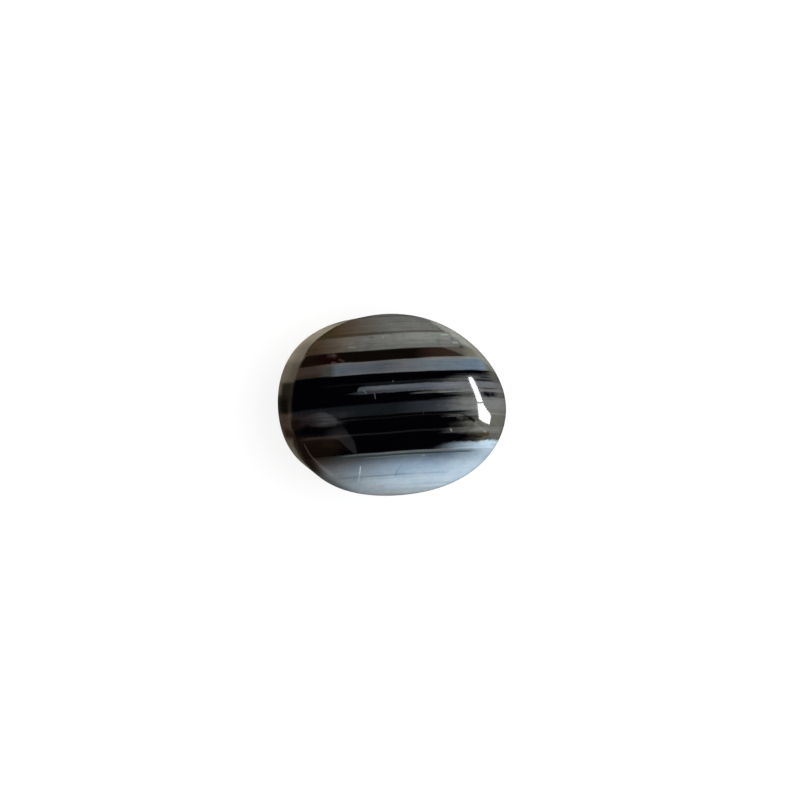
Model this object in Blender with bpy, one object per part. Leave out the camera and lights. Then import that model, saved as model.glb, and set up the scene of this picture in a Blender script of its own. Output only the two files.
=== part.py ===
"""Banded agate cabochon: one oval polished stone with a flat base and a low dome.

The stone lies on its base with the dome up. +X runs along its length, towards the
more pointed end, +Y across it and +Z up. The origin is at the middle of its base.
All sizes are real, in metres.
"""

import math

import bmesh
import bpy
from mathutils import Vector

MM = 0.001

# Overall size
LENGTH = 16.0 * MM
WIDTH = 12.0 * MM
HEIGHT = 6.35 * MM

# Side wall, which widens from the base up to the girdle, the stone's widest line
GIRDLE_HEIGHT = 3.5 * MM
WALL_TAPER = 0.45 * MM
WALL_STEPS = 3
BASE_BEVEL = 0.14 * MM

# Dome above the girdle: 0.5 would be a half ellipsoid, and a larger value is more pointed
DOME_POWER = 0.62
DOME_STEPS = 14

# Girdle outline: an ellipse drawn in towards +X, with the unevenness of a hand-cut stone
# as waves round the outline, each (number of lobes, depth, angle of its first peak)
OUTLINE_STEPS = 72
NARROWING = 0.085
HAND_CUT_WAVES = (
    (3, 0.0085, math.radians(-26)),
    (4, 0.0090, math.radians(-37)),
    (5, 0.0060, math.radians(12)),
)

# Colour of the stone as a whole, which is mostly its dark bands
AGATE_COLOUR = (0.035, 0.035, 0.038, 1.0)
AGATE_ROUGHNESS = 0.12
SHARP_EDGE_ANGLE = math.radians(35)


def remove_scene_objects():
    """Clears the objects that the scene starts with."""
    for found in list(bpy.data.objects):
        bpy.data.objects.remove(found)


def hand_cut_oval(steps):
    """Points of an egg-like oval with uneven stretches, before it has its real size."""
    points = []
    for step in range(steps):
        angle = 2 * math.pi * step / steps
        waves = sum(
            depth * math.cos(lobes * (angle - peak))
            for lobes, depth, peak in HAND_CUT_WAVES
        )
        across = (1 - NARROWING * math.cos(angle)) * math.sin(angle)
        points.append(Vector((math.cos(angle), across)) * (1 + waves))
    return points


def girdle_outline(steps):
    """The oval stretched to the stone's length and width, centred on the origin."""
    oval = hand_cut_oval(steps)
    low = Vector((min(p.x for p in oval), min(p.y for p in oval)))
    high = Vector((max(p.x for p in oval), max(p.y for p in oval)))
    middle = (low + high) / 2
    span = high - low
    return [
        Vector(((p.x - middle.x) * LENGTH / span.x, (p.y - middle.y) * WIDTH / span.y))
        for p in oval
    ]


def inset_share(inset):
    """Size of a ring, as a share of the girdle's, that is drawn in by a distance."""
    mean_radius = (LENGTH + WIDTH) / 4
    return 1 - inset / mean_radius


def wall_rings():
    """(size, height) of each ring from the base's edge up to the girdle."""
    rings = [(inset_share(WALL_TAPER + BASE_BEVEL), 0.0)]
    for step in range(WALL_STEPS + 1):
        rise = step / WALL_STEPS
        height = BASE_BEVEL + rise * (GIRDLE_HEIGHT - BASE_BEVEL)
        rings.append((inset_share(WALL_TAPER * (1 - rise)), height))
    return rings


def dome_rings():
    """(size, height) of each ring above the girdle, without the top point."""
    rings = []
    for step in range(1, DOME_STEPS):
        turn = math.radians(90) * step / DOME_STEPS
        rise = math.sin(turn) ** (2 * DOME_POWER)
        height = GIRDLE_HEIGHT + (HEIGHT - GIRDLE_HEIGHT) * rise
        rings.append((math.cos(turn), height))
    return rings


def build_stone_mesh():
    """One closed mesh: the flat base, the wall, the girdle and the dome."""
    outline = girdle_outline(OUTLINE_STEPS)
    shape = bmesh.new()
    rings = [
        [shape.verts.new((p.x * size, p.y * size, height)) for p in outline]
        for size, height in wall_rings() + dome_rings()
    ]
    for lower, upper in zip(rings, rings[1:]):
        for here in range(OUTLINE_STEPS):
            after = (here + 1) % OUTLINE_STEPS
            shape.faces.new((lower[here], lower[after], upper[after], upper[here]))
    shape.faces.new(list(reversed(rings[0])))
    top = shape.verts.new((0.0, 0.0, HEIGHT))
    for here in range(OUTLINE_STEPS):
        after = (here + 1) % OUTLINE_STEPS
        shape.faces.new((rings[-1][here], rings[-1][after], top))
    bmesh.ops.recalc_face_normals(shape, faces=shape.faces)
    mesh = bpy.data.meshes.new("agate_cabochon")
    shape.to_mesh(mesh)
    shape.free()
    mesh.shade_smooth()
    mesh.set_sharp_from_angle(angle=SHARP_EDGE_ANGLE)
    return mesh


def agate_material():
    """Polished dark agate."""
    material = bpy.data.materials.new("polished_agate")
    material.use_nodes = True
    surface = material.node_tree.nodes["Principled BSDF"]
    surface.inputs["Base Color"].default_value = AGATE_COLOUR
    surface.inputs["Roughness"].default_value = AGATE_ROUGHNESS
    surface.inputs["Metallic"].default_value = 0.0
    return material


def build():
    """Makes the stone and puts it in the scene."""
    remove_scene_objects()
    mesh = build_stone_mesh()
    mesh.materials.append(agate_material())
    stone = bpy.data.objects.new("agate_cabochon", mesh)
    bpy.context.scene.collection.objects.link(stone)
    return stone


build()
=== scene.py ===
"""A sulemani agate cabochon, banded black, grey and blue-white, on a pale floor.

Lengths are in millimetres until a mesh, a light or the camera is made. The stone's
bands are level sheets through it. A spot in them is named by how far along the stone
it lies (along, the same as x) and by the sheet that it is in (level).
"""
import math
from collections import namedtuple

import bpy
import numpy as np
from mathutils import Matrix, Vector


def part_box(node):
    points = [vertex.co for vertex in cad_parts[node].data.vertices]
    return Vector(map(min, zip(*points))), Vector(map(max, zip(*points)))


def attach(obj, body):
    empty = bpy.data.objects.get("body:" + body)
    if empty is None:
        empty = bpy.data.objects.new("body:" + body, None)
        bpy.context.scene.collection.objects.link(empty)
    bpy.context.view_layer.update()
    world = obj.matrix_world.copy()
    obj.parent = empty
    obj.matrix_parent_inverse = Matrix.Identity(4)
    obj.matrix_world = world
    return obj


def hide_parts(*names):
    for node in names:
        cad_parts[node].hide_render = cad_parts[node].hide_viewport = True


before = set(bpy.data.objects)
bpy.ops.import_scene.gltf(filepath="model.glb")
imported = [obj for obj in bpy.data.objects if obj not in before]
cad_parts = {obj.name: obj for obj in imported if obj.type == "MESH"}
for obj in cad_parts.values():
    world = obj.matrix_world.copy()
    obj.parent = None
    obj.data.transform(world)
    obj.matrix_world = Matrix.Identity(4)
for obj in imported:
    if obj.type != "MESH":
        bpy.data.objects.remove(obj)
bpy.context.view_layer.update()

MM = 0.001
NODE = "agate_cabochon"

# Size of the stone, from its part in model.glb
box_low, box_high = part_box(NODE)
LENGTH, WIDTH, HEIGHT = ((box_high[axis] - box_low[axis]) / MM for axis in range(3))

# Side wall
GIRDLE_HEIGHT = 3.5
WALL_TAPER = 0.45
BASE_BEVEL = 0.14
GIRDLE_ROUNDING = 0.09

# Dome: 0.5 would be a half ellipsoid, and a larger value is more pointed
DOME_POWER = 0.62

# Outline: an ellipse drawn in towards +X, with waves round it, each (number of lobes,
# depth, angle of its first peak)
NARROWING = 0.085
HAND_CUT_WAVES = (
    (3, 0.0085, math.radians(-26)),
    (4, 0.0090, math.radians(-37)),
    (5, 0.0060, math.radians(12)),
)

# Unevenness left by polishing by hand, each (depth, wavelength, heading, phase), which
# comes up from nothing over a share of the way in from the girdle
POLISHING_WAVES = (
    (0.0060, 5.2, math.radians(20), 0.4),
    (0.0045, 3.7, math.radians(105), 2.1),
    (0.0025, 2.3, math.radians(61), 4.0),
)
POLISHING_FADE = 0.12

# Flats left by grinding the wall by hand, each (number round it, depth, phase)
WALL_FACETS = ((17, 0.006, 0.3), (26, 0.004, 1.9), (41, 0.002, 5.2))

# How far a nick's sides reach, as a share of its half width
NICK_SPREAD = 1.3

# Steps of the mesh
OUTLINE_STEPS = 560
BASE_STEPS = 12
BEVEL_STEPS = 5
WALL_STEPS = 34
ROUNDING_STEPS = 5
DOME_STEPS = 112

# Surface: its refraction, the roughness of the polish and of the smears on it, what the
# ground wall and the base add to that, and the depth of the grinding marks
AGATE_IOR = 1.54
POLISH_ROUGHNESS = 0.054
SMEAR_ROUGHNESS = 0.02
WALL_ROUGHNESS = 0.34
BASE_ROUGHNESS = 0.10
GRINDING_DEPTH = 0.012

# Sheets of the bands: how they lean along the stone, with height above the girdle and
# with height in the wall, where they straighten up at the blunt end, and how they fan out
LEAN_ALONG = 0.1165
LEAN_UP = 0.244
LEAN_UP_AT_BLUNT_END = 0.10
FAN = 0.0055

# Colours, in sRGB steps of 255
PALETTE = {
    "ash": (106, 106, 103),
    "ash line": (66, 62, 52),
    "black rust": (12, 8, 5),
    "blood": (22, 4, 3),
    "blue grey": (87, 94, 102),
    "blue white": (178, 197, 211),
    "bright blue white": (202, 224, 241),
    "brown grey": (62, 62, 58),
    "chip": (165, 165, 155),
    "clear fog": (114, 116, 115),
    "clear grey": (112, 113, 110),
    "clear olive": (102, 102, 95),
    "clear smoke": (86, 88, 86),
    "cloud": (166, 175, 178),
    "cold black": (1, 1, 4),
    "dark line": (46, 56, 58),
    "dark rust": (25, 13, 6),
    "dark slate": (21, 24, 27),
    "deep steel": (88, 102, 114),
    "dim blue grey": (79, 84, 90),
    "dull ash": (100, 101, 98),
    "dull taupe": (85, 77, 68),
    "dull umber": (63, 50, 37),
    "dusk": (20, 13, 8),
    "dusky rose": (60, 49, 42),
    "faint line": (24, 24, 26),
    "grey": (115, 115, 111),
    "ground": (134, 123, 106),
    "ground black": (18, 12, 3),
    "ground brown": (76, 61, 47),
    "ground dark": (50, 32, 19),
    "ground edge": (92, 80, 72),
    "ground green": (127, 116, 97),
    "ground light": (194, 181, 161),
    "ground mid": (101, 91, 76),
    "ground moss": (40, 35, 24),
    "ground pale": (170, 158, 138),
    "ground rose": (104, 88, 77),
    "haze blue": (144, 163, 183),
    "left grey": (104, 105, 104),
    "left haze": (90, 89, 88),
    "left shade": (64, 59, 55),
    "left umber": (34, 26, 19),
    "lens": (83, 89, 95),
    "lens deep": (54, 57, 61),
    "lens dim": (67, 73, 77),
    "lens fog": (103, 105, 108),
    "lens grey": (97, 101, 109),
    "lens light": (115, 116, 121),
    "lens shade": (40, 44, 47),
    "lens soft": (75, 80, 86),
    "light grey": (126, 128, 124),
    "light line": (108, 105, 103),
    "mauve": (70, 56, 66),
    "mid blue grey": (95, 97, 101),
    "milk blue": (154, 177, 196),
    "moss": (60, 52, 28),
    "near black": (5, 5, 7),
    "near rim shade": (112, 118, 120),
    "olive dark": (62, 61, 50),
    "olive grey": (106, 104, 92),
    "olive light": (100, 101, 96),
    "ox blood": (40, 27, 24),
    "pale chip": (165, 176, 172),
    "pale steel": (110, 123, 136),
    "pink grey": (172, 170, 174),
    "pitch": (2, 2, 3),
    "rim": (152, 154, 147),
    "rim brown": (24, 15, 8),
    "rim olive": (142, 143, 131),
    "rim shade": (38, 32, 29),
    "rust brown": (50, 39, 30),
    "rust grey": (84, 80, 73),
    "sage": (98, 97, 89),
    "scratch": (215, 222, 228),
    "sea grey": (92, 106, 102),
    "slate": (42, 45, 51),
    "smoke": (70, 70, 72),
    "smoke brown": (54, 42, 41),
    "smoke taupe": (78, 67, 60),
    "soft pink": (84, 72, 68),
    "steel": (97, 105, 112),
    "steel blue": (97, 112, 125),
    "steel edge": (129, 131, 131),
    "taupe": (94, 86, 76),
    "umber": (74, 60, 44),
    "umber line": (52, 42, 22),
    "warm grey": (98, 97, 96),
}

# Bands from the far side to the near side. Each covers all that is nearer than its
# upper level, with an edge of some softness, in colours at places along the stone.
Band = namedtuple("Band", "upper softness colours")
BANDS = (
    Band(9.00, 0.05, (
        (-6.0, "moss"), (-5.3, "umber"), (-4.2, "dull taupe"), (-2.0, "dull ash"), (0.0, "ash"),
    )),
    Band(4.62, 0.07, ((-6.6, "umber"), (-5.4, "taupe"), (-3.6, "ash"), (0.0, "light grey"))),
    Band(4.05, 0.15, ((-6.8, "dull umber"), (-5.4, "dull taupe"), (-4.0, "dull ash"), (0.0, "grey"))),
    Band(3.76, 0.10, ((-7.0, "dull umber"), (-5.4, "dull taupe"), (-3.0, "dull ash"), (2.0, "ash"))),
    Band(3.52, 0.04, (
        (1.0, "clear smoke"), (2.6, "clear smoke"), (3.3, "sage"), (4.0, "olive grey"), (5.4, "rim olive"),
    )),
)
RUST_BAND = (
    (-7.4, "dark rust"), (-6.9, "dark rust"), (-6.4, "blood"), (-5.7, "blood"), (-5.1, "black rust"),
    (-0.8, "black rust"), (0.6, "ox blood"), (2.2, "rust brown"),
)
BLUE_BAND = (
    (-7.4, "dusky rose"), (-6.8, "dusky rose"), (-6.5, "brown grey"), (-6.15, "brown grey"),
    (-5.8, "blue grey"), (-3.0, "dim blue grey"), (-1.5, "mid blue grey"), (0.0, "steel"),
    (3.6, "steel blue"), (4.3, "steel blue"), (5.0, "pale steel"), (5.8, "olive grey"),
)
BLUE_BAND_EDGE = (
    (-7.0, "dusky rose"), (-6.2, "soft pink"), (-5.6, "warm grey"), (-1.0, "warm grey"),
    (1.0, "grey"), (2.8, "grey"), (3.8, "steel edge"), (5.4, "steel edge"),
)
SLATE_BAND = ((-7.0, "dark slate"), (-2.0, "dark slate"), (0.2, "slate"))
LENS_UPPER_HALF = (
    (-4.6, "lens dim"), (-3.2, "lens"), (0.0, "lens"), (1.0, "lens grey"), (2.0, "lens light"),
    (3.2, "lens fog"), (6.0, "lens fog"),
)
LENS_LOWER_HALF = (
    (-4.6, "lens shade"), (-3.0, "lens deep"), (-1.5, "lens dim"), (0.0, "lens soft"), (1.5, "lens grey"),
)
# Colours of the light band by level; towards the near edge they darken, as painted shade.
LIGHT_BAND = (
    (-6.1, "near rim shade"), (-5.8, "cloud"), (-5.3, "blue white"), (-5.0, "blue white"), (-4.5, "milk blue"),
    (-4.15, "haze blue"), (-3.6, "deep steel"), (-3.2, "deep steel"),
)
# Darker colours that the light band turns to towards the blunt end, as painted shade
LIGHT_BAND_SHADED_END = (
    (-5.4, "left grey"), (-4.4, "left grey"), (-4.0, "left haze"), (-3.7, "left shade"),
    (-3.3, "left umber"),
)

WALL_BANDS = (
    (-3.4, "ground green"), (-2.6, "ground green"), (-2.05, "ground rose"), (-1.7, "ground dark"),
    (-1.4, "ground dark"), (-1.05, "ground brown"), (-0.3, "ground brown"), (-0.05, "ground black"),
    (0.7, "ground black"), (1.2, "ground moss"), (1.85, "ground moss"), (2.05, "ground mid"),
    (3.1, "ground mid"), (3.5, "ground"), (4.3, "ground"), (5.4, "ground light"),
)

# Faint lines in the far side of the wall: level, half width and strength of each
WALL_LINES = (
    (5.20, 0.03, 0.12), (5.55, 0.05, 0.14), (5.95, 0.05, 0.40), (6.12, 0.03, 0.30), (6.27, 0.06, 0.45),
    (6.42, 0.03, 0.30),
)

# How the black clears to cloudy grey towards the pointed end, partly in the stone's clearer
# layers and partly as painted light shining through the thin end: levels between which a
# layer lies, where along the stone it starts to clear and is fully clear, and its colour
Clearing = namedtuple("Clearing", "upper lower start full colour")
CLEARINGS = (
    Clearing(1.87, 1.68, 4.7, 6.5, "clear olive"),
    Clearing(1.68, 1.52, 4.4, 7.0, "clear olive"),
    Clearing(1.52, 1.34, 1.5, 4.4, "clear smoke"),
    Clearing(1.34, 1.12, -0.6, 4.0, "clear smoke"),
    Clearing(0.64, 0.50, -1.1, 4.4, "clear grey"),
    Clearing(0.44, 0.26, 1.1, 3.7, "clear smoke"),
    Clearing(0.26, 0.12, 1.9, 4.8, "clear smoke"),
    Clearing(0.12, 0.02, 0.8, 4.0, "clear smoke"),
    Clearing(0.02, -0.12, 0.0, 4.6, "clear grey"),
    Clearing(-0.12, -0.77, 0.3, 4.5, "clear fog"),
    Clearing(-0.77, -0.92, 2.1, 4.4, "clear grey"),
    Clearing(-0.92, -1.18, 1.0, 5.4, "clear grey"),
    Clearing(-1.18, -1.50, 2.4, 6.4, "clear olive"),
    Clearing(-1.50, -1.88, 1.9, 5.4, "clear olive"),
    Clearing(-1.88, -2.02, 0.8, 6.2, "clear grey"),
    Clearing(-2.02, -2.22, 1.3, 5.4, "clear grey"),
    Clearing(-2.22, -2.32, 2.4, 7.0, "clear grey"),
    Clearing(-2.32, -3.25, 3.3, 7.4, "clear olive"),
)

# Thin lines in the bands: level, half width, where the line starts and ends along the
# stone, how strong it is, and its colour. A line that runs past an end doesn't fade there.
PAST_END = 9.0
Line = namedtuple("Line", "level width start end strength colour")
LINES = (
    Line(5.95, 0.05, -9.0, 9.0, 0.5, "ash line"),
    Line(5.45, 0.03, -9.0, 9.0, 0.3, "ash line"),
    Line(4.68, 0.09, -9.0, 2.0, 0.60, "ash line"),
    Line(4.68, 0.12, -9.0, -2.6, 0.45, "umber line"),
    Line(3.62, 0.03, -4.6, 2.0, 0.4, "ash"),
    Line(2.48, 0.03, -3.2, -1.7, 0.4, "lens dim"),
    Line(1.97, 0.02, -6.0, 3.0, 0.5, "light line"),
    Line(1.60, 0.03, 2.4, 3.6, 0.5, "slate"),
    Line(1.52, 0.10, 3.7, 5.3, 0.85, "slate"),
    Line(1.38, 0.06, 4.5, 5.7, 0.85, "dark slate"),
    Line(1.30, 0.03, -6.5, 1.0, 0.4, "faint line"),
    Line(1.23, 0.09, -4.2, 1.0, 0.70, "dark slate"),
    Line(1.20, 0.06, 4.0, 5.9, 0.95, "dark slate"),
    Line(0.62, 0.05, 4.7, 6.1, 0.75, "slate"),
    Line(0.46, 0.040, -0.85, 9.0, 0.36, "clear fog"),
    Line(0.46, 0.040, 1.1, 9.0, 0.80, "clear fog"),
    Line(0.33, 0.07, 4.6, 6.2, 0.75, "slate"),
    Line(0.20, 0.10, 4.8, 6.2, 0.95, "slate"),
    Line(-0.02, 0.03, -1.0, 2.6, 0.5, "near black"),
    Line(-0.32, 0.03, 0.0, 3.0, 0.3, "slate"),
    Line(-0.86, 0.040, -5.2, 3.6, 0.95, "pitch"),
    Line(-0.98, 0.06, -5.8, -4.2, 0.10, "smoke"),
    Line(-0.98, 0.03, -5.5, 3.5, 0.5, "faint line"),
    Line(-1.97, 0.05, -7.2, -4.5, 0.45, "brown grey"),
    Line(-1.97, 0.05, -4.5, 1.6, 0.9, "faint line"),
    Line(-2.02, 0.09, 4.2, 9.0, 0.55, "grey"),
    Line(-3.28, 0.045, -4.6, -3.0, 0.5, "sage"),
    Line(-3.28, 0.045, -3.0, 2.7, 0.82, "olive light"),
    Line(-3.42, 0.065, -5.2, 2.2, 0.9, "dark line"),
    Line(-3.30, 0.050, 3.0, 4.9, 0.40, "deep steel"),
    Line(-3.43, 0.055, 2.2, 4.6, 0.7, "dark line"),
    Line(-3.50, 0.02, -3.2, 1.4, 0.5, "clear grey"),
    Line(-4.68, 0.045, -4.6, 0.0, 0.42, "deep steel"),
    Line(-4.68, 0.045, 0.0, 2.8, 0.50, "haze blue"),
    Line(-4.98, 0.03, -3.0, 9.0, 0.2, "bright blue white"),
    Line(-5.32, 0.03, -3.0, 9.0, 0.3, "haze blue"),
    Line(-5.60, 0.03, -3.0, 9.0, 0.3, "haze blue"),
    Line(-5.95, 0.03, -9.0, 9.0, 0.5, "haze blue"),
    Line(-6.20, 0.04, -9.0, 9.0, 0.4, "haze blue"),
)

# Small marks on the dome: ends as (along, level), half width, how strong the colour is
# and what it is, and the depth of the nick or scratch, 0 where only the colour differs
Mark = namedtuple("Mark", "start end width strength colour depth")
MARKS = (
    Mark((-3.50, -4.05), (-3.40, -4.45), 0.060, 0.62, "scratch", 0.012),
    Mark((-3.40, -4.45), (-3.25, -4.95), 0.060, 0.28, "scratch", 0.006),
    Mark((-0.80, -4.12), (-0.98, -4.45), 0.060, 0.45, "blue grey", 0.008),
    Mark((-0.98, -4.45), (-0.96, -4.78), 0.060, 0.55, "blue grey", 0.008),
    Mark((0.50, -3.58), (0.70, -3.58), 0.060, 0.25, "blue white", 0.0),
    Mark((-2.45, -5.33), (-1.50, -5.42), 0.160, 0.70, "pink grey", 0.0),
    Mark((4.60, -3.52), (5.20, -3.60), 0.200, 0.35, "haze blue", 0.0),
    Mark((-2.28, 1.33), (-2.25, 1.33), 0.070, 0.50, "clear grey", 0.010),
    Mark((-2.46, 2.44), (-2.42, 2.18), 0.090, 0.35, "smoke", 0.0),
    Mark((-4.12, 0.85), (-3.95, 0.68), 0.060, 0.50, "lens light", 0.0),
    Mark((-3.65, 0.74), (-3.20, 0.72), 0.110, 0.45, "mauve", 0.0),
    Mark((-3.42, 0.62), (-3.34, 0.28), 0.050, 0.60, "warm grey", 0.006),
    Mark((0.00, -0.75), (0.00, -0.95), 0.040, 0.40, "smoke", 0.006),
    Mark((2.27, -1.97), (2.38, -2.08), 0.080, 0.80, "chip", 0.012),
    Mark((-2.80, 4.52), (-2.74, 4.36), 0.080, 0.40, "chip", 0.012),
    Mark((-2.68, 4.47), (-2.30, 4.46), 0.070, 0.25, "chip", 0.008),
    Mark((-2.75, 5.20), (-3.00, 4.50), 0.060, 0.22, "sea grey", 0.0),
    Mark((1.10, 4.42), (1.45, 4.38), 0.130, 0.50, "sea grey", 0.0),
    Mark((0.10, 3.74), (1.30, 3.80), 0.160, 0.50, "sea grey", 0.0),
    Mark((0.85, 4.08), (1.25, 3.98), 0.140, 0.40, "sea grey", 0.0),
    Mark((1.65, 4.42), (2.15, 4.42), 0.090, 0.65, "pale chip", 0.012),
    Mark((2.52, 3.82), (2.88, 3.80), 0.100, 0.65, "pale chip", 0.012),
    Mark((3.02, 3.52), (3.30, 3.50), 0.150, 0.95, "olive dark", 0.010),
    Mark((-5.00, 3.84), (-4.60, 3.82), 0.075, 0.75, "light grey", 0.0),
    Mark((-4.90, 4.20), (-4.65, 4.15), 0.080, 0.30, "light grey", 0.0),
    Mark((-5.95, 3.90), (-5.90, 3.40), 0.160, 0.40, "soft pink", 0.0),
    Mark((-6.15, 3.44), (-5.85, 3.36), 0.240, 0.28, "soft pink", 0.0),
    Mark((-6.00, 2.87), (-5.85, 2.83), 0.140, 0.55, "soft pink", 0.0),
    Mark((-5.60, 3.05), (-5.40, 2.93), 0.130, 0.35, "soft pink", 0.0),
    # The next two faint smoke smears are painted reflection, at the top of the far wall's reflection.
    Mark((-5.80, -0.55), (-5.20, -0.62), 0.340, 0.13, "smoke", 0.0),
    Mark((-5.20, -0.60), (-4.70, -0.55), 0.340, 0.08, "smoke", 0.0),
    Mark((4.95, 0.25), (6.10, 0.20), 0.300, 0.40, "slate", 0.0),
    Mark((5.04, 0.28), (5.36, 0.20), 0.250, 1.00, "pitch", 0.0),
    Mark((5.74, 0.25), (5.88, 0.21), 0.210, 0.85, "pitch", 0.0),
    Mark((3.20, -1.10), (3.74, -1.30), 0.100, 0.65, "pitch", 0.0),
    Mark((3.74, -1.34), (4.14, -1.51), 0.170, 1.00, "pitch", 0.0),
    Mark((2.00, -0.90), (3.20, -1.05), 0.080, 0.45, "pitch", 0.0),
    Mark((2.70, -1.22), (3.10, -1.32), 0.140, 0.25, "clear olive", 0.0),
    Mark((4.30, -1.74), (5.45, -2.24), 0.170, 0.50, "light grey", 0.0),
    Mark((5.30, -2.20), (5.46, -2.26), 0.080, 0.55, "chip", 0.0),
    Mark((3.90, -2.38), (4.90, -2.46), 0.200, 0.22, "moss", 0.0),
    Mark((5.00, -2.46), (5.75, -2.36), 0.250, 0.90, "moss", 0.0),
    Mark((-5.90, -2.45), (-5.20, -2.60), 0.320, 0.12, "umber line", 0.0),
    Mark((-4.95, -2.60), (-4.55, -2.75), 0.280, 0.15, "ox blood", 0.0),
    Mark((3.90, -2.42), (5.10, -2.55), 0.120, 0.60, "dark rust", 0.0),
)

# Chipped edge between the rough grey and the smooth rim, as (along, level) corners with
# the half width and the strength of the part that follows each
CHIPPED_EDGE = (
    ((1.05, 5.60), (1.10, 4.95), 0.09, 0.30),
    ((1.45, 5.10), (1.85, 4.60), 0.12, 0.50),
    ((1.85, 4.60), (2.35, 4.55), 0.08, 0.30),
    ((2.35, 4.55), (2.48, 4.15), 0.10, 0.35),
    ((2.48, 4.15), (2.95, 4.03), 0.07, 0.25),
    ((3.02, 4.00), (3.15, 3.65), 0.09, 0.40),
)

# Where the smooth rim beyond it starts, as (level, along)
RIM_START = (
    (1.8, 6.3), (2.1, 5.85), (2.4, 5.40), (2.7, 4.95), (3.2, 4.4), (3.45, 3.95), (3.7, 3.30),
    (4.2, 2.75), (4.66, 2.1), (5.2, 1.35), (5.9, 0.8),
)

# Camera: how far it leans from straight above towards the stone's blunt end, how it is
# turned and rolled, where it aims, and how the stone sits a little off the aim
CAMERA_LEAN = math.radians(28.0)
CAMERA_TURN = math.radians(2.9638)
CAMERA_ROLL = math.radians(6.1012)
CAMERA_DISTANCE = 80.0
CAMERA_AIM = Vector((0.0, 0.0, 3.0))
CAMERA_RIGHT, CAMERA_RAISED = 0.0477, 0.3504
CLIP_START = 5.0
SENSOR = 36.0
LENS = 54.39

# Light that the stone mirrors: corners of each card as (azimuth, elevation) in degrees,
# how brightly it glows and in what tint, and how the glow fades across it. Each fade is
# along an axis, from where (least glow) to where (full glow) as shares of the card's
# distance, and that least.
UPPER_PANE = (
    (23.9, 26.4), (24.1, 24.4), (23.9, 22.6), (22.0, 22.6), (19.2, 23.4), (16.1, 24.0), (10.0, 24.2),
    (6.2, 23.4), (6.3, 28.3), (9.8, 28.8), (13.5, 28.9), (17.3, 28.7), (20.7, 27.9),
)
LOWER_PANE = (
    (5.2, 28.2), (5.2, 23.3), (2.8, 22.0), (0.8, 20.2), (-0.7, 18.0), (-1.8, 15.8), (-3.0, 14.4),
    (-4.3, 13.6), (-8.6, 12.8), (-8.0, 19.2), (-7.3, 22.4), (-6.4, 25.3), (-0.7, 27.3),
)
NEAR_WALL = (
    (-146.5, 65.5), (-137.3, 67.2), (-126.6, 67.4), (-112.5, 64.9), (-102.0, 62.2), (-95.8, 58.7),
    (-91.1, 53.8), (-89.5, 50.9), (-91.8, 50.8), (-100.0, 53.7), (-107.4, 55.6), (-115.0, 57.1),
    (-120.7, 56.6), (-125.8, 54.0), (-130.5, 49.3), (-133.6, 44.3), (-141.9, 47.7), (-139.5, 55.0),
    (-137.1, 59.1), (-136.2, 62.5), (-139.0, 64.7),
)
FAR_WALL = (
    (-159.9, 30.9), (-161.1, 40.0), (-160.9, 47.8), (-159.9, 54.2), (-158.3, 58.6), (-153.5, 62.5),
    (-146.7, 65.6), (-140.6, 65.7), (-136.5, 62.6), (-146.2, 50.6), (-149.6, 44.0), (-152.0, 37.0),
    (-155.5, 31.0),
)
TABLE_EDGE = (
    (-137.2, 9.2), (-125.8, 8.5), (-122.0, 9.4), (-117.8, 9.7), (-113.6, 9.7), (-109.4, 8.8),
    (-103.5, 7.2), (-95.5, 4.2), (-96.6, 12.6), (-104.2, 14.9), (-110.0, 15.9), (-114.1, 16.3),
    (-118.3, 15.7), (-122.4, 13.9), (-126.3, 13.1), (-129.8, 13.2), (-133.2, 13.0), (-137.6, 12.0),
)
CARD_DISTANCE = 400.0
PANE_GLOW = 16.5
NEAR_WALL_GLOW = 0.27
NEAR_WALL_FADES = (((1.0, 0.0, 0.0), -0.50, -0.24, 0.0), ((0.0, -1.0, 0.0), 0.30, 0.40, 0.30))
FAR_WALL_GLOW = 0.355
FAR_WALL_TINT = (1.0, 0.96, 0.98)
FAR_WALL_FADES = (((0.0, 0.0, 1.0), 0.59, 0.82, 0.15),)
TABLE_EDGE_GLOW = 0.60
TABLE_EDGE_TINT = (1.0, 0.8, 0.7)
WHITE = (1.0, 1.0, 1.0)

# Room: how bright it is where it lights the stone, in the polish, and behind the stone
ROOM_FILL = 0.72
ROOM_MIRRORED = 0.008
ROOM_SEEN = 1.0

# Key light: how strong and how wide it is, and the (azimuth, elevation) that it comes from
KEY_STRENGTH = 1.35
KEY_SPREAD = math.radians(60)
KEY_FROM = (20, 52)

# Lit floor: how much light it gives of its own and how much of the room's it returns
FLOOR_RADIUS = 3000.0
FLOOR_STEPS = 96
FLOOR_GLOW = 0.82
FLOOR_TONE = 0.22
FLOOR_UNEVENNESS = 0.01
FLOOR_ROUGHNESS = 0.9


def hand_cut_oval(angles):
    """Points of an egg-like oval with uneven stretches, before it has its real size."""
    waves = sum(depth * np.cos(lobes * (angles - peak)) for lobes, depth, peak in HAND_CUT_WAVES)
    across = (1 - NARROWING * np.cos(angles)) * np.sin(angles)
    return np.stack([np.cos(angles), across], axis=1) * (1 + waves)[:, None]


def girdle_outline(steps):
    """The oval stretched to the stone's length and width, centred on the origin."""
    oval = hand_cut_oval(np.arange(steps) * 2 * math.pi / steps)
    low, high = oval.min(axis=0), oval.max(axis=0)
    return (oval - (low + high) / 2) * np.array([LENGTH, WIDTH]) / (high - low)


def inset_share(inset):
    """Size of a ring, as a share of the girdle's, that is drawn in by a distance."""
    mean_radius = (LENGTH + WIDTH) / 4
    return 1 - inset / mean_radius


def wall_ring(height):
    """Size of the wall's ring at a height."""
    share = (height - BASE_BEVEL) / (GIRDLE_HEIGHT - BASE_BEVEL)
    return inset_share(WALL_TAPER * (1 - share))


def dome_ring(turn):
    """(size, height) of the dome's ring at a turn from the girdle up to the top."""
    climb = math.sin(turn) ** (2 * DOME_POWER)
    return math.cos(turn), GIRDLE_HEIGHT + (HEIGHT - GIRDLE_HEIGHT) * climb


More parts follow.
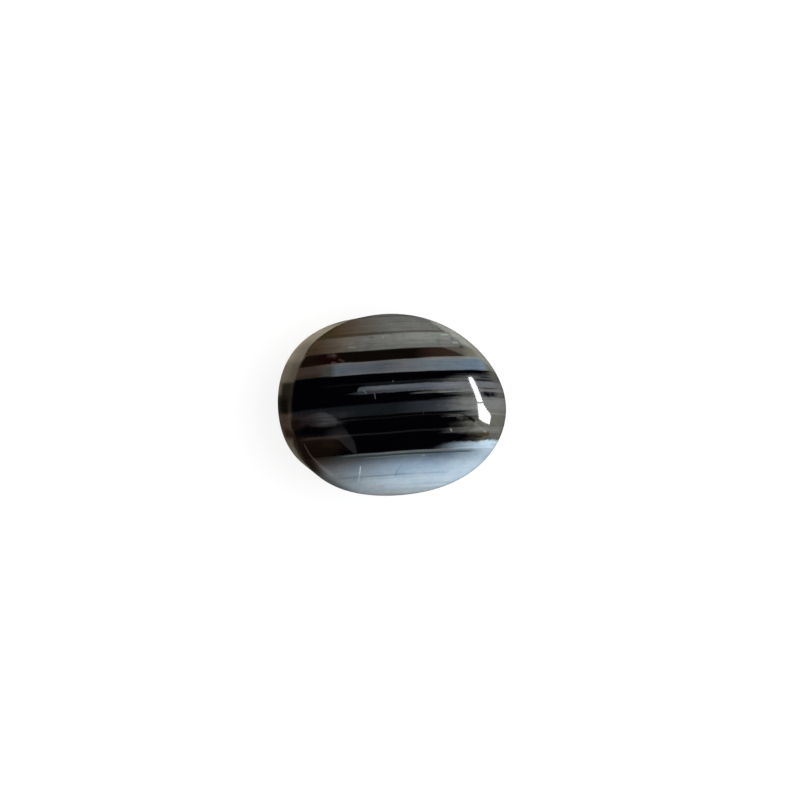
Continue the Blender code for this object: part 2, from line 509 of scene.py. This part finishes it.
def bend(start, corner, end, steps):
    """Points of a smooth bend from start to end that rounds off a corner, without its ends."""
    points = []
    for step in range(1, steps):
        share = step / steps
        weights = ((1 - share) ** 2, 2 * share * (1 - share), share ** 2)
        points.append(tuple(np.dot(weights, np.array([start, corner, end]))))
    return points


def stone_rings():
    """(size, height, zone) of each ring from the base's middle to the dome's top.

    The zone tells the material where a ring lies: 0 is the dome's top, 1 the girdle,
    2 the base's edge and 3 the base's middle.
    """
    base_edge = inset_share(WALL_TAPER + BASE_BEVEL)
    rings = [(base_edge * step / BASE_STEPS, 0.0, 3 - step / BASE_STEPS) for step in range(1, BASE_STEPS)]
    rim = [(base_edge, 0.0)]
    rim += bend(rim[0], (wall_ring(0.0), 0.0), (wall_ring(BASE_BEVEL), BASE_BEVEL), BEVEL_STEPS)
    for height in np.linspace(BASE_BEVEL, GIRDLE_HEIGHT - GIRDLE_ROUNDING, WALL_STEPS):
        rim.append((wall_ring(height), height))
    turn_start = math.asin((GIRDLE_ROUNDING / (HEIGHT - GIRDLE_HEIGHT)) ** (0.5 / DOME_POWER))
    rim += bend(rim[-1], (1.0, GIRDLE_HEIGHT), dome_ring(turn_start), ROUNDING_STEPS)
    rings += [(size, height, 2 - min(height / GIRDLE_HEIGHT, 1.0)) for size, height in rim]
    for turn in np.linspace(turn_start, math.pi / 2, DOME_STEPS, endpoint=False):
        size, height = dome_ring(turn)
        rings.append((size, height, size))
    return rings


def level_of(x, y, z):
    """Level of the band that a point of the dome lies in, as the material works it out."""
    return y - LEAN_ALONG * x - FAN * x * y - (z - GIRDLE_HEIGHT) * LEAN_UP


def polishing_waves(x, y, zone):
    """How far the dome stands above its true curve, which is nothing at the girdle."""
    waves = np.zeros_like(x)
    for depth, length, heading, phase in POLISHING_WAVES:
        run = x * math.cos(heading) + y * math.sin(heading)
        waves += depth * np.sin(2 * math.pi * run / length + phase)
    return waves * np.clip((1 - zone) / POLISHING_FADE, 0, 1)


def wall_facets(angle, zone):
    """How far the wall stands proud, as a share of its size, from grinding by hand."""
    waves = sum(depth * np.sin(count * angle + phase) for count, depth, phase in WALL_FACETS)
    middle = np.sin(math.pi * np.clip(zone - 1, 0, 1))
    return waves * middle * 2 / (LENGTH + WIDTH)


def distance_from_line(x, y, start, end):
    """Distance of points from a straight line between two others, in a plane."""
    run, climb = end[0] - start[0], end[1] - start[1]
    share = ((x - start[0]) * run + (y - start[1]) * climb) / (run * run + climb * climb)
    share = np.clip(share, 0, 1)
    return np.hypot(x - start[0] - share * run, y - start[1] - share * climb)


def nicks(x, level):
    """Depth of the small nicks and scratches at points of the dome."""
    depth = np.zeros_like(x)
    for mark in MARKS:
        if mark.depth:
            away = distance_from_line(x, level, mark.start, mark.end)
            spread = mark.width * NICK_SPREAD
            depth = np.maximum(depth, mark.depth * np.exp(-((away / spread) ** 2)))
    return depth


def stone_points():
    """Points of every ring, with the zone of each, then the middle of the base and the top."""
    outline = girdle_outline(OUTLINE_STEPS)
    angle = np.arctan2(outline[:, 1], outline[:, 0])
    points, zones = [], []
    for size, height, zone in stone_rings():
        flat = outline * size * (1 + wall_facets(angle, zone))[:, None]
        tall = np.full(OUTLINE_STEPS, height)
        if zone < 1:
            tall = tall + polishing_waves(flat[:, 0], flat[:, 1], zone)
            tall -= nicks(flat[:, 0], level_of(flat[:, 0], flat[:, 1], tall))
        points.append(np.column_stack([flat, tall]))
        zones.append(np.full(OUTLINE_STEPS, zone))
    top = HEIGHT + polishing_waves(np.zeros(1), np.zeros(1), 0.0)
    points.append(np.array([[0.0, 0.0, 0.0], [0.0, 0.0, top[0]]]))
    zones.append(np.array([3.0, 0.0]))
    return np.concatenate(points), np.concatenate(zones)


def stone_faces(rings):
    """Quads between the rings, and triangles round the middle of the base and the top."""
    here = np.arange(OUTLINE_STEPS)
    after = (here + 1) % OUTLINE_STEPS
    faces = []
    for ring in range(rings - 1):
        low, high = ring * OUTLINE_STEPS, (ring + 1) * OUTLINE_STEPS
        faces += np.column_stack([low + here, low + after, high + after, high + here]).tolist()
    base_middle, top = rings * OUTLINE_STEPS, rings * OUTLINE_STEPS + 1
    last = (rings - 1) * OUTLINE_STEPS
    faces += np.column_stack([after, here, np.full(OUTLINE_STEPS, base_middle)]).tolist()
    faces += np.column_stack([last + here, last + after, np.full(OUTLINE_STEPS, top)]).tolist()
    return faces


def build_stone():
    """The stone as one finely stepped closed mesh that stands for the CAD node."""
    points, zones = stone_points()
    faces = stone_faces(len(stone_rings()))
    mesh = bpy.data.meshes.new("agate_stone")
    mesh.from_pydata((points * MM).tolist(), [], faces)
    mesh.attributes.new("zone", "FLOAT", "POINT").data.foreach_set("value", zones.astype(np.float32))
    mesh.shade_smooth()
    stone = bpy.data.objects.new("agate_stone", mesh)
    bpy.context.scene.collection.objects.link(stone)
    return stone


class Field:
    """A number, place or colour that shader nodes work out at each point of a surface."""

    def __init__(self, socket):
        self.socket = socket

    def __add__(self, other):
        return calculate("ADD", self, other)

    __radd__ = __add__

    def __sub__(self, other):
        return calculate("SUBTRACT", self, other)

    def __rsub__(self, other):
        return calculate("SUBTRACT", other, self)

    def __mul__(self, other):
        return calculate("MULTIPLY", self, other)

    def __truediv__(self, other):
        return calculate("DIVIDE", self, other)


def feed(socket, value):
    """Joins a field to a socket, or sets the socket to a plain value."""
    if isinstance(value, Field):
        socket.id_data.links.new(value.socket, socket)
    else:
        socket.default_value = value


def add_node(kind, *values):
    """A new node in the tree that the fields among the values belong to."""
    tree = next(value.socket.id_data for value in values if isinstance(value, Field))
    return tree.nodes.new(kind)


def calculate(operation, *values):
    """A Math node."""
    node = add_node("ShaderNodeMath", *values)
    node.operation = operation
    for socket, value in zip(node.inputs, values):
        feed(socket, value)
    return Field(node.outputs["Value"])


def size_of(value):
    """The value without its sign."""
    return calculate("ABSOLUTE", value)


def at_most(value, limit):
    """The value, held down to a limit."""
    return calculate("MINIMUM", value, limit)


def at_least(value, limit):
    """The value, held up to a limit."""
    return calculate("MAXIMUM", value, limit)


def rise(value, start, end):
    """0 where the value is at start, 1 where it is at end, and smooth between."""
    node = add_node("ShaderNodeMapRange", value, start, end)
    node.interpolation_type = "SMOOTHSTEP"
    node.clamp = False
    feed(node.inputs["Value"], value)
    feed(node.inputs["From Min"], start)
    feed(node.inputs["From Max"], end)
    return Field(node.outputs["Result"])


def between(value, low, high, softness):
    """1 where the value lies between two others, which may be fields, and 0 outside."""
    over_low = rise(value, low - softness, low + softness)
    return over_low * rise(value, high + softness, high - softness)


def place(x, y, z):
    """Three numbers as one place."""
    node = add_node("ShaderNodeCombineXYZ", x, y, z)
    for socket, value in zip(node.inputs, (x, y, z)):
        feed(socket, value)
    return Field(node.outputs["Vector"])


def measure(operation, one, other):
    """A number worked out from two places."""
    node = add_node("ShaderNodeVectorMath", one, other)
    node.operation = operation
    feed(node.inputs[0], one)
    feed(node.inputs[1], other)
    return Field(node.outputs["Value"])


def noise(where, scale, detail=2.0, roughness=0.5):
    """Soft random variation about 0, mostly between -0.25 and 0.25."""
    node = add_node("ShaderNodeTexNoise", where)
    feed(node.inputs["Vector"], where)
    node.inputs["Scale"].default_value = scale
    node.inputs["Detail"].default_value = detail
    node.inputs["Roughness"].default_value = roughness
    return Field(node.outputs["Fac"]) - 0.5


def linear(step):
    """One part of a colour in sRGB steps of 255, as light."""
    share = step / 255
    if share <= 0.04045:
        return share / 12.92
    return ((share + 0.055) / 1.055) ** 2.4


def colour(name):
    """A palette colour as light, with full alpha."""
    return (*[linear(step) for step in PALETTE[name]], 1.0)


def ramp(value, stops):
    """A colour that changes with the value through stops of (value, colour name)."""
    first, last = stops[0][0], stops[-1][0]
    node = add_node("ShaderNodeValToRGB", value)
    feed(node.inputs["Fac"], (value - first) / (last - first))
    elements = node.color_ramp.elements
    elements.remove(elements[1])
    elements[0].position = 0.0
    elements[0].color = colour(stops[0][1])
    for at, name in stops[1:]:
        elements.new((at - first) / (last - first)).color = colour(name)
    return Field(node.outputs["Color"])


def graph(value, *stops):
    """A number that changes smoothly with the value through stops of (value, number)."""
    first, last = stops[0][0], stops[-1][0]
    low, high = min(n for _, n in stops), max(n for _, n in stops)
    node = add_node("ShaderNodeFloatCurve", value)
    feed(node.inputs["Value"], (value - first) / (last - first))
    node.mapping.extend = "HORIZONTAL"
    points = node.mapping.curves[0].points
    for index, (at, number) in enumerate(stops):
        where = ((at - first) / (last - first), (number - low) / (high - low))
        if index < 2:
            points[index].location = where
        else:
            points.new(*where)
    for point in points:
        point.handle_type = "AUTO_CLAMPED"
    node.mapping.update()
    return low + Field(node.outputs["Value"]) * (high - low)


def mixed(under, over, share, kind="MIX"):
    """One colour laid over another."""
    node = add_node("ShaderNodeMix", under, over, share)
    node.data_type = "RGBA"
    node.blend_type = kind
    factor, under_socket, over_socket = node.inputs[0], node.inputs[6], node.inputs[7]
    feed(factor, share)
    feed(under_socket, under)
    feed(over_socket, over)
    return Field(node.outputs[2])


class Stone:
    """Where a point of the stone lies, and the colour laid down there so far."""

    def __init__(self, tree):
        here = tree.nodes.new("ShaderNodeTexCoord").outputs["Object"]
        parts = tree.nodes.new("ShaderNodeSeparateXYZ")
        tree.links.new(here, parts.inputs["Vector"])
        x, y, z = (Field(parts.outputs[axis]) / MM for axis in "XYZ")
        zone = tree.nodes.new("ShaderNodeAttribute")
        zone.attribute_name = "zone"
        self.zone = Field(zone.outputs["Fac"])
        self.x, self.y, self.z = x, y, z
        level = self.even_level()
        wander = noise(place(x, y * 0.6, z * 0.6), 0.35, 1.0)
        self.streaks = noise(place(x * 0.3, level * 6.0, z * 0.3), 1.6, 4.0, 0.6)
        self.patches = noise(place(x * 0.8, level * 1.6, z * 0.8), 1.5, 3.0, 0.6)
        self.fray = noise(place(x * 0.5, level * 5.0, z), 1.4, 3.0)
        self.fibres = noise(place(x * 2.2 - level * 3.0, level * 2.5, z), 1.6, 3.0, 0.6)
        self.along = x + wander * 0.1
        self.level = level + wander * 0.12
        self.spot = place(self.along, self.level, 0.0)
        self.dome = rise(self.zone, 1.02, 0.985)
        self.colour = None

    def even_level(self):
        """Level of the band that a point lies in, before the band's slight natural wander."""
        x, y, z = self.x, self.y, self.z
        wall_lean = LEAN_UP_AT_BLUNT_END + rise(x, -6.5, -3.0) * (LEAN_UP - LEAN_UP_AT_BLUNT_END)
        above = at_least(z - GIRDLE_HEIGHT, 0.0) * LEAN_UP
        below = at_most(z - GIRDLE_HEIGHT, 0.0) * wall_lean
        return y - x * LEAN_ALONG - x * y * FAN - above - below

    def lay(self, paint, share):
        """Lays a colour over what is there, where share is 1."""
        if isinstance(paint, str):
            paint = colour(paint)
        self.colour = mixed(self.colour, paint, share)

    def near_line(self, start, end):
        """Distance from a straight line on the dome."""
        run, climb = end[0] - start[0], end[1] - start[1]
        offset = add_node("ShaderNodeVectorMath", self.spot)
        offset.operation = "SUBTRACT"
        feed(offset.inputs[0], self.spot)
        feed(offset.inputs[1], (start[0], start[1], 0.0))
        offset = Field(offset.outputs["Vector"])
        share = measure("DOT_PRODUCT", offset, (run, climb, 0.0)) / (run * run + climb * climb)
        share = at_least(at_most(share, 1.0), 0.0)
        nearest = place(share * run, share * climb, 0.0)
        return measure("DISTANCE", offset, nearest)

    def smear(self, start, end, width):
        """1 in the middle of a ragged line on the dome, fading to 0 at that half width."""
        ragged = self.near_line(start, end) + self.patches * width * 0.8
        return rise(ragged, width, 0.0) * self.dome


def lay_far_bands(stone):
    """The brown and grey bands of the far side."""
    along, level = stone.along, stone.level
    stone.colour = ramp(along, BANDS[0].colours)
    for band in BANDS[1:]:
        share = rise(level, band.upper + band.softness, band.upper - band.softness)
        stone.lay(ramp(along, band.colours), share)
    mottled = between(level, 3.55, 4.6, 0.1) * rise(along, -6.0, -4.0)
    stone.lay("sea grey", mottled * rise(stone.patches, 0.03, 0.20) * 0.6)
    stone.lay("soft pink", mottled * rise(stone.patches, -0.04, -0.22) * 0.4)


def lay_rust_band(stone):
    """The rust-black band, which tapers away towards the pointed end."""
    along, level = stone.along, stone.level
    top = graph(
        along, (-8.0, 3.58), (-5.4, 3.55), (-3.4, 3.50), (1.3, 3.49), (1.7, 3.41), (2.3, 3.24), (2.7, 3.08),
        (3.1, 2.92), (3.4, 2.78), (4.0, 2.50),
    )
    edge = 0.045 + rise(along, 1.0, 2.6) * 0.05
    stone.lay("rust grey", between(level, 2.7, 3.5, 0.12) * rise(along, 1.4, 2.6) * rise(along, 3.7, 2.8))
    stone.lay(ramp(along, RUST_BAND), between(level, 2.6, top, edge))
    stone.lay("black rust", between(level, 2.95, top - 0.06, 0.06) * rise(stone.patches, 0.0, 0.12) * 0.6)
    lower_edge = between(level, 2.76, 2.86, 0.05) * rise(along, -0.8, 0.6) * rise(along, 3.6, 3.0)
    stone.lay("rust brown", lower_edge * 0.6)


def lay_blue_band(stone):
    """The blue-grey band next to it, more neutral along its far edge."""
    along, level = stone.along, stone.level
    edge = graph(
        along, (-8.0, 2.81), (-5.4, 2.80), (-3.6, 2.74), (-1.2, 2.74), (0.6, 2.79), (4.6, 2.80), (5.6, 2.66),
    )
    stone.lay(ramp(along, BLUE_BAND), rise(level - edge, 0.05, -0.04))
    stone.lay(ramp(along, BLUE_BAND_EDGE), between(level, 2.62, edge, 0.07) * 0.85)
    stone.lay("cold black", between(level, 1.9, 2.2, 0.16) * rise(along, -6.3, -7.2) * 0.5)


def lay_black_middle(stone):
    """The black middle, with the slate band across it, which clears to grey at the pointed end."""
    along, level = stone.along, stone.level
    top = graph(along, (-8.0, 2.03), (-6.0, 1.99), (-4.0, 1.93), (0.0, 1.88), (8.0, 1.86))
    stone.lay("cold black", rise(level - top, 0.05, -0.04))
    stone.lay(ramp(along, SLATE_BAND), between(level, -0.80, -0.07, 0.09))
    fray = stone.fray * 1.2 + stone.patches * 1.4
    # The grey clearings are partly painted light shining through the thin pointed end.
    for layer in CLEARINGS:
        clear = rise(along + fray, layer.start, layer.full)
        stone.lay(layer.colour, clear * between(level, layer.lower, layer.upper, 0.035))


def lay_lens(stone):
    """The long grey lens in the black, with a pointed tail and a darker lower half."""
    along, level = stone.along, stone.level
    reach = graph(along, (-5.4, 0.0), (-4.9, 0.03), (-4.2, 0.11), (-3.8, 0.11))
    tail = rise(size_of(level - 0.70), reach + 0.05, reach * 0.3)
    stone.lay("lens shade", tail * rise(along, -5.4, -4.4) * rise(along, -3.4, -3.9))
    body = rise(stone.near_line((-4.28, 0.87), (9.0, 0.87)) + stone.fibres * 0.10, 0.275, 0.175)
    stone.lay(ramp(along, LENS_UPPER_HALF), body)
    stone.lay(ramp(along, LENS_LOWER_HALF), body * rise(level, 0.90, 0.76) * rise(along, 3.6, 1.4))


def lay_light_band(stone):
    """The wide blue-white band of the near side, with its feathered upper edge."""
    along, level = stone.along, stone.level
    # Painted shade: the band turns to darker colours towards the blunt end.
    light = mixed(ramp(level, LIGHT_BAND), ramp(level, LIGHT_BAND_SHADED_END), rise(along, 0.5, -6.5))
    # Painted light: the band turns to bright blue white towards the pointed end.
    reach = rise(level, -4.7, -3.7) * 2.0
    light = mixed(light, colour("bright blue white"), rise(along - reach, -0.5, 6.5) * 0.9)
    stone.lay(light, rise(level, -3.18, -3.25))
    edge = graph(
        along, (0.7, -3.20), (1.5, -3.05), (2.3, -2.88), (3.0, -2.84), (4.6, -2.85), (5.6, -2.77),
        (8.0, -2.72),
    )
    fray = stone.fibres * 0.32
    # The feathered edge also brightens towards the pointed end, partly as painted light.
    milky = graph(
        along, (0.0, 0.0), (1.0, 0.008), (2.0, 0.10), (3.0, 0.30), (4.0, 0.50), (5.0, 0.76), (6.0, 1.0),
    )
    soft = 0.08 + rise(along, 3.2, 1.2) * 0.12
    feathered = rise(level - edge + fray, soft, soft * -1.2)
    stone.lay("bright blue white", feathered * rise(level, -3.32, -3.22) * milky)


def lay_lines(stone):
    """The thin lines that run along the bands."""
    for line in LINES:
        share = rise(size_of(stone.level - line.level), line.width + 0.035, line.width * 0.5)
        if line.start > -PAST_END:
            share = share * rise(stone.along, line.start - 0.4, line.start + 0.4)
        if line.end < PAST_END:
            share = share * rise(stone.along, line.end + 0.6, line.end - 0.6)
        stone.lay(line.colour, share * line.strength)


def lay_left_end(stone):
    """Smoky streaks partly painted as reflection, browner black, and painted shade, at the blunt end."""
    along, level = stone.along, stone.level
    # Smoky streaks in the stone, painted lighter inside the arc of the far wall's reflection: partly the
    # stone's own streaks, partly painted reflection.
    reach = graph(
        level, (-1.3, -5.05), (-1.14, -5.12), (-0.86, -5.56), (-0.56, -5.92), (-0.27, -6.32),
        (-0.1, -6.75),
    )
    wisps_and_reflection = rise(level, -0.06, -0.50) * rise(level, -1.28, -1.02) * rise(along - reach, 0.30, -0.30)
    wisps_and_reflection = wisps_and_reflection * rise(stone.streaks + stone.patches, -0.35, 0.10)
    stone.lay(ramp(along, ((-7.3, "smoke brown"), (-6.7, "smoke brown"), (-6.2, "smoke"))), wisps_and_reflection * 0.46)
    stone.lay("pitch", between(level, -1.60, -1.25, 0.10) * rise(along, -5.0, -6.2))
    stone.lay("dusk", between(level, -3.2, -1.90, 0.15) * rise(along, -4.6, -5.6) * 0.9)
    haze = graph(
        level, (-2.5, 0.0), (-2.32, 0.02), (-2.12, 0.09), (-1.97, 0.24), (-1.82, 0.05), (-1.60, 0.0),
    )
    broken = rise(stone.streaks + stone.patches, -0.45, 0.10)
    stone.lay("smoke taupe", haze * rise(along, -4.6, -5.6) * broken)
    # Painted shade: the dome's outer edge at the near side of the blunt end is darkened.
    shaded_foot = rise(stone.zone, 0.93, 1.0) * rise(along, -2.0, -4.4) * rise(level, -3.2, -3.6)
    stone.lay("rim shade", shaded_foot * stone.dome * 0.65)


def lay_left_rim(stone):
    """The brown rim at the blunt end, which reaches over the girdle at the near side."""
    along, level = stone.along, stone.level
    share = rise(along, -4.4, -5.6) * rise(level, -0.2, -0.8) * rise(level, -4.6, -3.9)
    share = share * (1 - between(level, -1.75, -1.30, 0.20) * 0.8)
    over = rise(level, -1.7, -2.3) * rise(level + stone.patches, -4.3, -3.0) * 0.20
    rim = rise(stone.zone, 0.93, 0.985) * rise(stone.zone, 1.10 + over * 2.2, 0.99 + over * 0.5)
    stone.lay("rim brown", share * rim * 0.88)


def lay_right_end(stone):
    """The smooth pale rim at the pointed end, and the chipped edge where it starts."""
    along, level = stone.along, stone.level
    start = graph(level, *RIM_START)
    # The rim is partly the stone's smooth edge and partly painted light shining through the thin pointed
    # end.
    pale = mixed(colour("rim olive"), colour("rim"), rise(level, 3.2, 3.9))
    share = rise(along - start, -0.30, 0.50) * rise(level, 1.75, 2.00) * rise(stone.zone, 0.6, 0.85)
    stone.lay(pale, share * (1 - rise(stone.zone, 1.0, 1.3) * 0.7))
    for start, end, width, strength in CHIPPED_EDGE:
        stone.lay("ash line", stone.smear(start, end, width) * strength)


def lay_marks(stone):
    """Nicks, scratches and specks on the dome."""
    for mark in MARKS:
        stone.lay(mark.colour, stone.smear(mark.start, mark.end, mark.width) * mark.strength)


def lay_wall(stone):
    """The ground side wall, dusty and browner at the left, with painted light low down and faint lines at
    the far side.
    """
    along, level = stone.along, stone.level
    step = rise(level, 3.6, 4.4) * 0.09
    wall = rise(stone.zone - step, 0.99, 1.01)
    left = wall * rise(along, -2.0, -6.2)
    stone.lay("ground", wall * 0.12)
    stone.lay(ramp(level, WALL_BANDS), left)
    # Painted light from the floor: the wall at the blunt end turns paler towards its base.
    stone.lay("ground pale", left * rise(stone.z, 3.2, 0.4) * rise(level, 1.6, 2.4) * 0.30)
    # More painted light from the floor on the low part of the wall.
    low = left * rise(stone.z, 1.5, 0.2)
    stone.lay("ground light", low * rise(level, 3.0, 3.8) * 0.40)
    edges = between(level, 1.1, 1.95, 0.20) * 0.6 + between(level, -1.9, -1.2, 0.15) * 0.25
    stone.lay("ground", low * (edges + 0.09))
    # Ground edge colour just under the girdle, strongest near levels -0.9 to -0.4.
    under_girdle_share = graph(level, (-1.5, 0.0), (-0.9, 0.8), (-0.4, 1.0), (0.1, 0.4), (1.3, 0.1))
    stone.lay("ground edge", left * rise(stone.zone, 1.25, 1.12) * under_girdle_share * 0.50)
    for at, width, strength in WALL_LINES:
        stone.lay("ground edge", wall * rise(size_of(level - at), width + 0.05, width * 0.4) * strength)


def lay_texture(stone):
    """Fine streaks along the bands, cloudy patches, tints and grain, over all the colours."""
    x, level, z = stone.x, stone.level, stone.z
    wall = rise(stone.zone, 0.99, 1.01)
    thin = noise(place(x * 0.15, level * 9.0, z * 0.15), 1.1, 2.0)
    grain = noise(place(x, stone.y, z), 9.0, 2.0, 0.6)
    strength = 0.55 - wall * 0.35 - rise(level, -3.2, -3.6) * 0.35
    dust = noise(place(x, stone.y, z * 1.4), 2.2, 4.0, 0.65) * wall
    bands = (stone.streaks + thin * 0.5) * strength
    lightness = 1.0 + bands + stone.patches * 0.35 + grain * 0.25 + dust * 0.35
    stone.colour = mixed(stone.colour, place(lightness, lightness, lightness), 1.0, "MULTIPLY")
    warmth = noise(place(x * 0.7, level * 1.4, z * 0.7), 1.7, 3.0, 0.6) * 0.22
    green = noise(place(x * 0.7, level * 1.4, z * 0.7 + 30.0), 1.9, 3.0, 0.6) * 0.14
    stone.colour = mixed(stone.colour, place(warmth + 1.0, green + 1.0, 1.0 - warmth), 1.0, "MULTIPLY")


def stone_roughness(stone):
    """Polished dome, ground wall and rougher base."""
    smears = noise(place(stone.x, stone.y, stone.z), 0.6, 3.0)
    wall = rise(stone.zone, 0.99, 1.03)
    base = rise(stone.zone, 1.97, 2.03)
    return POLISH_ROUGHNESS + smears * SMEAR_ROUGHNESS + wall * WALL_ROUGHNESS + base * BASE_ROUGHNESS


def stone_relief(stone):
    """Height of the fine grinding marks on the wall and base, in millimetres."""
    round_wall = noise(place(stone.x * 0.5, stone.y * 0.5, stone.z * 14.0), 1.0, 3.0, 0.6)
    pits = noise(place(stone.x, stone.y, stone.z), 11.0, 3.0, 0.6)
    wall = rise(stone.zone, 0.99, 1.05)
    return (round_wall + pits) * wall * GRINDING_DEPTH


def agate_material():
    """Banded agate, polished on the dome and ground on the wall and base."""
    material = bpy.data.materials.new("banded_agate")
    material.use_nodes = True
    tree = material.node_tree
    surface = tree.nodes["Principled BSDF"]
    surface.inputs["IOR"].default_value = AGATE_IOR
    stone = Stone(tree)
    lay_far_bands(stone)
    lay_rust_band(stone)
    lay_blue_band(stone)
    lay_black_middle(stone)
    lay_lens(stone)
    lay_light_band(stone)
    lay_lines(stone)
    lay_left_end(stone)
    lay_right_end(stone)
    lay_marks(stone)
    lay_wall(stone)
    lay_left_rim(stone)
    lay_texture(stone)
    feed(surface.inputs["Base Color"], stone.colour)
    feed(surface.inputs["Roughness"], stone_roughness(stone))
    bump = tree.nodes.new("ShaderNodeBump")
    bump.inputs["Distance"].default_value = MM
    feed(bump.inputs["Height"], stone_relief(stone))
    tree.links.new(bump.outputs["Normal"], surface.inputs["Normal"])
    return material


def direction(azimuth, elevation):
    """Direction from +X turned by the azimuth towards +Y and raised by the elevation, in degrees."""
    azimuth, elevation = math.radians(azimuth), math.radians(elevation)
    flat = math.cos(elevation)
    return Vector((flat * math.cos(azimuth), flat * math.sin(azimuth), math.sin(elevation)))


def mirrored_card(name, corners, material):
    """A glowing card round the stone that only its polish shows."""
    points = [tuple(direction(*corner) * CARD_DISTANCE * MM) for corner in corners]
    mesh = bpy.data.meshes.new(name)
    mesh.from_pydata(points, [], [list(range(len(points)))])
    mesh.materials.append(material)
    card = bpy.data.objects.new(name, mesh)
    bpy.context.scene.collection.objects.link(card)
    card.visible_camera = card.visible_diffuse = card.visible_shadow = False


def glow_material(name, strength, tint=WHITE, fades=()):
    """Light of a given strength and tint, which may fade across its card."""
    material = bpy.data.materials.new(name)
    material.use_nodes = True
    tree = material.node_tree
    tree.nodes.remove(tree.nodes["Principled BSDF"])
    glow = tree.nodes.new("ShaderNodeEmission")
    glow.inputs["Color"].default_value = (*tint, 1.0)
    if fades:
        where = Field(tree.nodes.new("ShaderNodeTexCoord").outputs["Object"])
        for axis, start, end, least in fades:
            run = measure("DOT_PRODUCT", where, axis)
            share = rise(run, start * CARD_DISTANCE * MM, end * CARD_DISTANCE * MM)
            strength = (least + share * (1 - least)) * strength
    feed(glow.inputs["Strength"], strength)
    tree.links.new(glow.outputs["Emission"], tree.nodes["Material Output"].inputs["Surface"])
    return material


def floor_material():
    """Matt white, very slightly uneven, lit a little from within like a light table."""
    material = bpy.data.materials.new("pale_floor")
    material.use_nodes = True
    tree = material.node_tree
    surface = tree.nodes["Principled BSDF"]
    surface.inputs["Roughness"].default_value = FLOOR_ROUGHNESS
    surface.inputs["Specular IOR Level"].default_value = 0.0
    where = Field(tree.nodes.new("ShaderNodeTexCoord").outputs["Object"])
    shade = noise(where, 60.0, 3.0) * FLOOR_UNEVENNESS + FLOOR_TONE
    feed(surface.inputs["Base Color"], place(shade, shade, shade))
    surface.inputs["Emission Color"].default_value = (*WHITE, 1.0)
    surface.inputs["Emission Strength"].default_value = FLOOR_GLOW
    return material


def build_floor():
    """A wide round floor under the stone."""
    azimuths = [360 * step / FLOOR_STEPS for step in range(FLOOR_STEPS)]
    points = [tuple(direction(azimuth, 0) * FLOOR_RADIUS * MM) for azimuth in azimuths]
    mesh = bpy.data.meshes.new("floor")
    mesh.from_pydata(points, [], [list(range(FLOOR_STEPS))])
    mesh.materials.append(floor_material())
    floor = bpy.data.objects.new("floor", mesh)
    bpy.context.scene.collection.objects.link(floor)
    floor.visible_glossy = False


def light_room():
    """Soft light from all round, which the polish shows as nearly dark."""
    world = bpy.data.worlds.new("soft_room")
    bpy.context.scene.world = world
    world.use_nodes = True
    tree = world.node_tree
    background = tree.nodes["Background"]
    ray = tree.nodes.new("ShaderNodeLightPath")
    seen = Field(ray.outputs["Is Camera Ray"])
    mirrored = Field(ray.outputs["Is Glossy Ray"])
    strength = ROOM_FILL + mirrored * (ROOM_MIRRORED - ROOM_FILL) + seen * (ROOM_SEEN - ROOM_FILL)
    feed(background.inputs["Strength"], strength)
    background.inputs["Color"].default_value = (*WHITE, 1.0)


def add_key_light():
    """A wide soft light, which the polish doesn't show."""
    lamp = bpy.data.lights.new("key", "SUN")
    lamp.energy = KEY_STRENGTH
    lamp.angle = KEY_SPREAD
    key = bpy.data.objects.new("key", lamp)
    key.rotation_mode = "QUATERNION"
    key.rotation_quaternion = direction(*KEY_FROM).to_track_quat("Z", "Y")
    key.visible_glossy = False
    bpy.context.scene.collection.objects.link(key)


def place_camera():
    """The camera, where the photograph was taken from."""
    lean, turn, roll = CAMERA_LEAN, CAMERA_TURN, CAMERA_ROLL
    back = Vector((-math.sin(lean) * math.cos(turn), math.sin(turn), math.cos(lean) * math.cos(turn)))
    level_right = Vector((0, 1, 0)).cross(back).normalized()
    level_up = back.cross(level_right)
    right = level_right * math.cos(roll) + level_up * math.sin(roll)
    up = back.cross(right)
    spot = CAMERA_AIM + back * CAMERA_DISTANCE + right * CAMERA_RIGHT + up * CAMERA_RAISED
    lens = bpy.data.cameras.new("camera")
    lens.sensor_width = SENSOR
    lens.lens = LENS
    lens.clip_start = CLIP_START * MM
    camera = bpy.data.objects.new("camera", lens)
    camera.matrix_world = Matrix.Translation(spot * MM) @ Matrix((right, up, back)).transposed().to_4x4()
    bpy.context.scene.collection.objects.link(camera)
    bpy.context.scene.camera = camera


stone = build_stone()
stone.data.materials.append(agate_material())
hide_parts(NODE)
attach(stone, "root")

build_floor()
light_room()
add_key_light()
window = glow_material("window", PANE_GLOW)
mirrored_card("window_upper", UPPER_PANE, window)
mirrored_card("window_lower", LOWER_PANE, window)
near_glow = glow_material("near_wall", NEAR_WALL_GLOW, fades=NEAR_WALL_FADES)
mirrored_card("near_wall", NEAR_WALL, near_glow)
far_glow = glow_material("far_wall", FAR_WALL_GLOW, FAR_WALL_TINT, FAR_WALL_FADES)
mirrored_card("far_wall", FAR_WALL, far_glow)
mirrored_card("table_edge", TABLE_EDGE, glow_material("table_edge", TABLE_EDGE_GLOW, TABLE_EDGE_TINT))
place_camera()
bpy.context.scene.view_settings.view_transform = "Standard"
